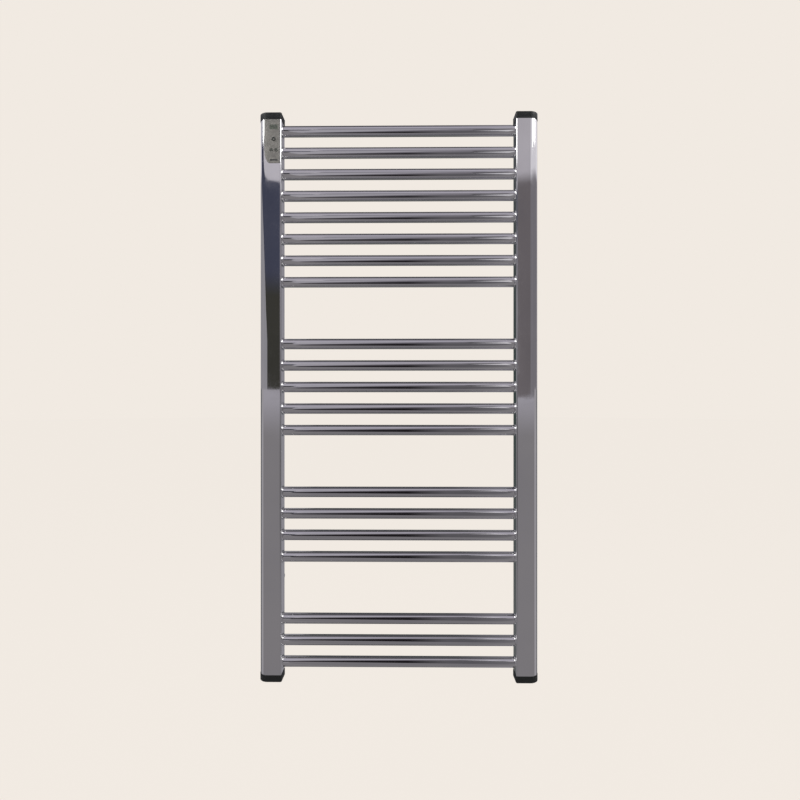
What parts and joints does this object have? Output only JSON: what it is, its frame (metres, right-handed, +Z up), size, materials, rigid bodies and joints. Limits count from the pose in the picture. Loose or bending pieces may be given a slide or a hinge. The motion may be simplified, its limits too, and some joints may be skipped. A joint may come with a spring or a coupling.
{
  "type": "towel warmer rack",
  "caption": "Wall-mounted chrome ladder towel warmer with D-section uprights, round rungs in groups, a small control panel and telescopic wall brackets.",
  "frame": {"origin": "on the wall plane, at the centre of the four wall screws", "axes": "+X to the right seen from the front, +Y into the wall, +Z up"},
  "size_m": [0.5012, 0.0866, 1.02],
  "materials": {
    "chrome": "bright chrome plate on steel tube",
    "bracket_chrome": "bright chrome plate on turned steel",
    "cap_plastic": "moulded black plastic, semi-gloss",
    "fascia": "satin stone-grey moulding",
    "smoked_window": "smoked clear plastic",
    "display_window": "clear window over a grey liquid-crystal display",
    "dark_button": "matt charcoal moulding",
    "grey_button": "matt grey moulding",
    "circuit_board": "green solder mask on glass-fibre board",
    "component_black": "moulded black",
    "terminal_plastic": "moulded green",
    "lead_white": "white insulation",
    "lead_earth": "green and yellow insulation",
    "lead_brown": "brown insulation",
    "cable_jacket": "red silicone jacket",
    "sleeve_black": "heat-shrink sleeve",
    "cutout_ceramic": "ivory ceramic-filled moulding",
    "plated_steel": "zinc-plated steel",
    "brass_screw": "plain brass",
    "black_steel": "black oxide steel",
    "grommet_rubber": "black rubber"
  },
  "bodies": {
    "wall_feet": {"wall_foot_top_left": "bracket_chrome", "wall_foot_top_right": "bracket_chrome", "wall_foot_bottom_left": "bracket_chrome", "wall_foot_bottom_right": "bracket_chrome", "grub_screws": "black_steel"},
    "rack": {"left_upright": "chrome", "right_upright": "chrome", "rung_01": "chrome", "rung_02": "chrome", "rung_03": "chrome", "rung_04": "chrome", "rung_05": "chrome", "rung_06": "chrome", "rung_07": "chrome", "rung_08": "chrome", "rung_09": "chrome", "rung_10": "chrome", "rung_11": "chrome", "rung_12": "chrome", "rung_13": "chrome", "rung_14": "chrome", "rung_15": "chrome", "rung_16": "chrome", "rung_17": "chrome", "rung_18": "chrome", "rung_19": "chrome", "rung_20": "chrome", "cap_top_left": "cap_plastic", "cap_top_right": "cap_plastic", "cap_bottom_left": "cap_plastic", "cap_bottom_right": "cap_plastic", "control_fascia": "fascia", "display_lens": "display_window", "indicator_lens": "smoked_window", "control_board": "circuit_board", "display_module": "component_black", "tact_switches": "component_black", "power_board": "circuit_board", "relay": "component_black", "supply_module": "component_black", "terminal_block": "terminal_plastic", "control_leads": "lead_white", "earth_lead": "lead_earth", "mains_leads": "lead_brown", "heating_cable": "cable_jacket", "cold_joint": "sleeve_black", "end_seal": "sleeve_black", "temperature_sensor": "sleeve_black", "thermal_cutout": "cutout_ceramic", "threaded_inserts": "plated_steel", "board_screws": "plated_steel", "earth_screw": "brass_screw", "inlet_grommet": "grommet_rubber", "bracket_post_top_left": "bracket_chrome", "bracket_post_top_right": "bracket_chrome", "bracket_post_bottom_left": "bracket_chrome", "bracket_post_bottom_right": "bracket_chrome"},
    "power_button": {"power_button": "dark_button"},
    "minus_button": {"minus_button": "grey_button"},
    "plus_button": {"plus_button": "grey_button"}
  },
  "joints": [
    {"name": "wall_distance", "type": "slide", "parent": "wall_feet", "child": "rack", "axis": [0, -1, 0], "range_m": [0, 0.015]},
    {"name": "power_button_press", "type": "slide", "parent": "rack", "child": "power_button", "axis": [0, 1, 0], "range_m": [0, 0.0008], "stiffness_N_per_m": 1500, "springref_m": -0.0003},
    {"name": "minus_button_press", "type": "slide", "parent": "rack", "child": "minus_button", "axis": [0, 1, 0], "range_m": [0, 0.0008], "stiffness_N_per_m": 1500, "springref_m": -0.0003},
    {"name": "plus_button_press", "type": "slide", "parent": "rack", "child": "plus_button", "axis": [0, 1, 0], "range_m": [0, 0.0008], "stiffness_N_per_m": 1500, "springref_m": -0.0003}
  ]
}
